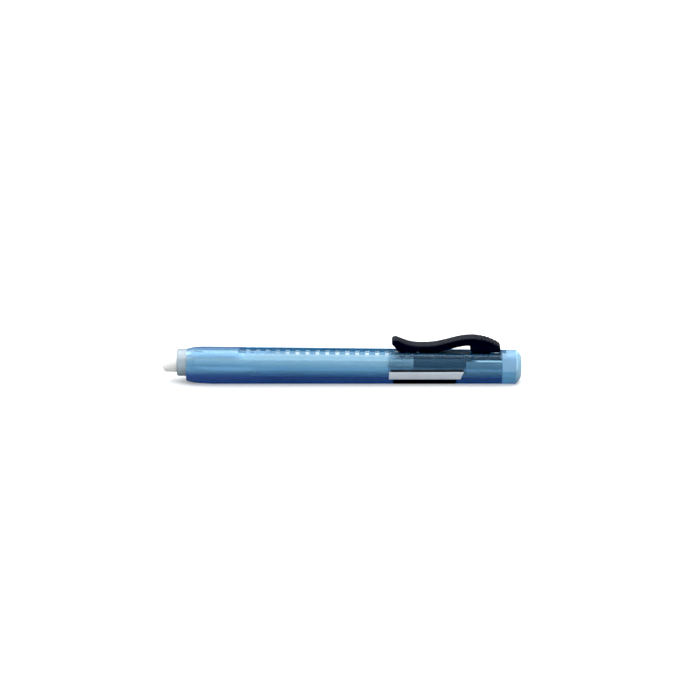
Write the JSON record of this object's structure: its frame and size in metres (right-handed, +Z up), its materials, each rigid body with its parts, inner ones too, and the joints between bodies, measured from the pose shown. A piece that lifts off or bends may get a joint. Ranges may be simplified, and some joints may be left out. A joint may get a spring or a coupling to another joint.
{
  "type": "click eraser stick",
  "caption": "Pen-shaped click eraser with a six-sided translucent barrel, a slot with ratchet notches, a thumb slider with a pocket clip, and a round white eraser refill.",
  "frame": {"origin": "centre of the footprint on the surface that the stick lies on, under the middle of its length", "axes": "+X along the stick from the eraser tip to the closed end, +Y across to the far side from the label, +Z up, out of the slotted top flat"},
  "size_m": [0.123, 0.0132, 0.0163],
  "materials": {
    "barrel_blue": "translucent blue moulded plastic, glossy",
    "nose_clear": "clear to milky moulded plastic, glossy",
    "plug_blue": "translucent light blue moulded plastic, glossy",
    "label_paper": "white sticker paper with dark border bars, blank",
    "eraser_white": "soft white vinyl eraser, matte, worn at the tip",
    "slider_dark": "dark moulded plastic",
    "chuck_grey": "mid grey moulded plastic",
    "tail_blue_grey": "mid blue-grey moulded plastic",
    "pin_steel": "plain ground steel pin",
    "spring_steel": "drawn spring wire",
    "clip_black": "black moulded plastic, satin, fine ribs on the thumb pad"
  },
  "bodies": {
    "barrel_body": {"barrel": "barrel_blue", "nose_guide": "nose_clear", "end_plug": "plug_blue", "label": "label_paper"},
    "slider": {"eraser_chuck": "chuck_grey", "carriage": "slider_dark", "carriage_tail": "tail_blue_grey", "pivot_pin": "pin_steel", "return_spring": "spring_steel"},
    "lever": {"ratchet_tongue": "slider_dark", "thumb_block": "clip_black"},
    "clip": {"clip_arm": "clip_black"},
    "refill": {"eraser_stick": "eraser_white"}
  },
  "joints": [
    {"name": "slider_travel", "type": "slide", "parent": "barrel_body", "child": "slider", "axis": [-1, 0, 0.0098], "range_m": [-0.0051, 0.051]},
    {"name": "release_press", "type": "hinge", "parent": "slider", "child": "lever", "pos_m": [0.02801, 0, 0.00763], "axis": [0, 1, 0], "range_deg": [0, 0.95], "stiffness_Nm_per_rad": 1.9, "springref_deg": -0.95, "deforming": ["return_spring"]},
    {"name": "clip_flex", "type": "hinge", "parent": "lever", "child": "clip", "pos_m": [0.04538, 0, 0.01496], "axis": [0, 1, 0], "range_deg": [0, 4.5], "stiffness_Nm_per_rad": 1.3, "springref_deg": -1.72},
    {"name": "refill_draw", "type": "slide", "parent": "slider", "child": "refill", "axis": [-1, 0, 0.0098], "range_m": [0, 0.027]}
  ]
}
